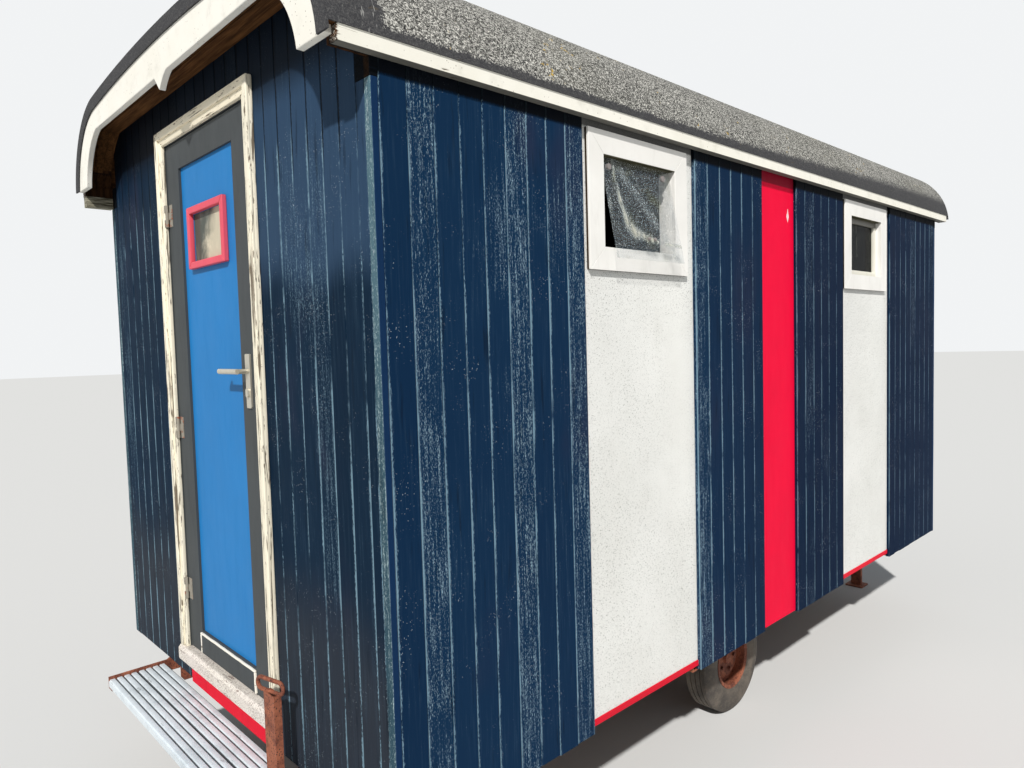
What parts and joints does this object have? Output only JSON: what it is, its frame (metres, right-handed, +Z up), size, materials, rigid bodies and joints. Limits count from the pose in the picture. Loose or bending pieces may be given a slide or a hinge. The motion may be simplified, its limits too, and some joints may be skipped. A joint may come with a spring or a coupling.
{
  "type": "portable site cabin",
  "caption": "Portable timber site cabin on a single axle, dark blue boards with white panels and a red stripe, curved felt roof, door and step at the front end.",
  "frame": {"origin": "on the ground, below the middle of the body", "axes": "+X from the door end to the rear end, +Y to the left for someone who faces the door, +Z up"},
  "size_m": [4.727, 2.281, 2.9548],
  "materials": {
    "blue_boards": "weathered matt paint",
    "white_sheet": "painted sheet, dirty",
    "red_paint": "painted",
    "white_paint": "cracked and peeling paint",
    "raw_timber": "bare, brown",
    "inner_timber": "bare",
    "floor_timber": "bare, worn",
    "roof_felt": "mineral felt with lichen",
    "grey_paint": "painted",
    "light_blue_paint": "painted",
    "pink_paint": "painted",
    "window_glass": "dirty",
    "dirty_sheet": "dusty, clouded",
    "grey_steel": "painted over",
    "satin_nickel": "satin",
    "galvanised": "ribbed, scuffed",
    "rusty_steel": "rusted",
    "yellow_steel": "old yellow paint, rusted",
    "tyre_rubber": "dusty"
  },
  "bodies": {
    "cabin": {"floor_deck": "floor_timber", "chassis_rails": "rusty_steel", "cross_members": "yellow_steel", "axle_beam": "rusty_steel", "leaf_springs": "rusty_steel", "right_wall": "inner_timber", "left_wall": "inner_timber", "rear_wall": "inner_timber", "front_wall_right": "inner_timber", "front_wall_left": "inner_timber", "front_wall_head": "inner_timber", "right_wall_boards": "blue_boards", "left_wall_boards": "blue_boards", "rear_wall_boards": "blue_boards", "front_boards_right": "blue_boards", "front_boards_left": "blue_boards", "front_boards_door": "blue_boards", "corner_battens": "blue_boards", "white_panels": "white_sheet", "red_stripes": "red_paint", "red_trims": "red_paint", "door_red_band": "red_paint", "wall_plates": "raw_timber", "roof_bows": "raw_timber", "roof_deck": "raw_timber", "roof_felt": "roof_felt", "overhang_soffits": "raw_timber", "front_bargeboard": "white_paint", "rear_bargeboard": "white_paint", "eave_fascias": "white_paint", "door_frame": "white_paint", "door_trim": "white_paint", "door_sill": "white_paint", "hinge_frames": "grey_steel", "window_trims": "white_paint", "window_sashes": "white_paint", "window_glass": "window_glass", "tilted_pane": "dirty_sheet", "step_planks": "galvanised", "step_arms": "rusty_steel", "front_leg": "rusty_steel", "rear_legs": "rusty_steel", "front_leg_sleeve": "rusty_steel", "rear_legs_sleeve": "rusty_steel", "drawbar_lugs": "rusty_steel"},
    "door": {"door_leaf_frame": "grey_paint", "door_panel": "light_blue_paint", "door_kick_board": "light_blue_paint", "door_window_frame": "pink_paint", "door_glass": "window_glass", "hinge_leaves": "grey_steel", "door_lock_plates": "satin_nickel"},
    "lever": {"door_lever": "satin_nickel"},
    "right_wheel": {"right_wheel_rim": "rusty_steel", "right_tyre": "tyre_rubber"},
    "left_wheel": {"left_wheel_rim": "rusty_steel", "left_tyre": "tyre_rubber"}
  },
  "joints": [
    {"name": "door_hinge", "type": "hinge", "parent": "cabin", "child": "door", "pos_m": [-2.151, 0.355, 1.6], "axis": [0, 0, -1], "range_deg": [0, 110]},
    {"name": "lever_turn", "type": "hinge", "parent": "door", "child": "lever", "pos_m": [-2.124, -0.313, 1.77], "axis": [-1, 0, 0], "range_deg": [0, 40], "stiffness_Nm_per_rad": 0.5, "springref_deg": -11.46},
    {"name": "right_wheel_spin", "type": "hinge", "parent": "cabin", "child": "right_wheel", "pos_m": [0, -0.785, 0.25], "axis": [0, 1, 0], "continuous": true},
    {"name": "left_wheel_spin", "type": "hinge", "parent": "cabin", "child": "left_wheel", "pos_m": [0, 0.785, 0.25], "axis": [0, 1, 0], "continuous": true}
  ]
}
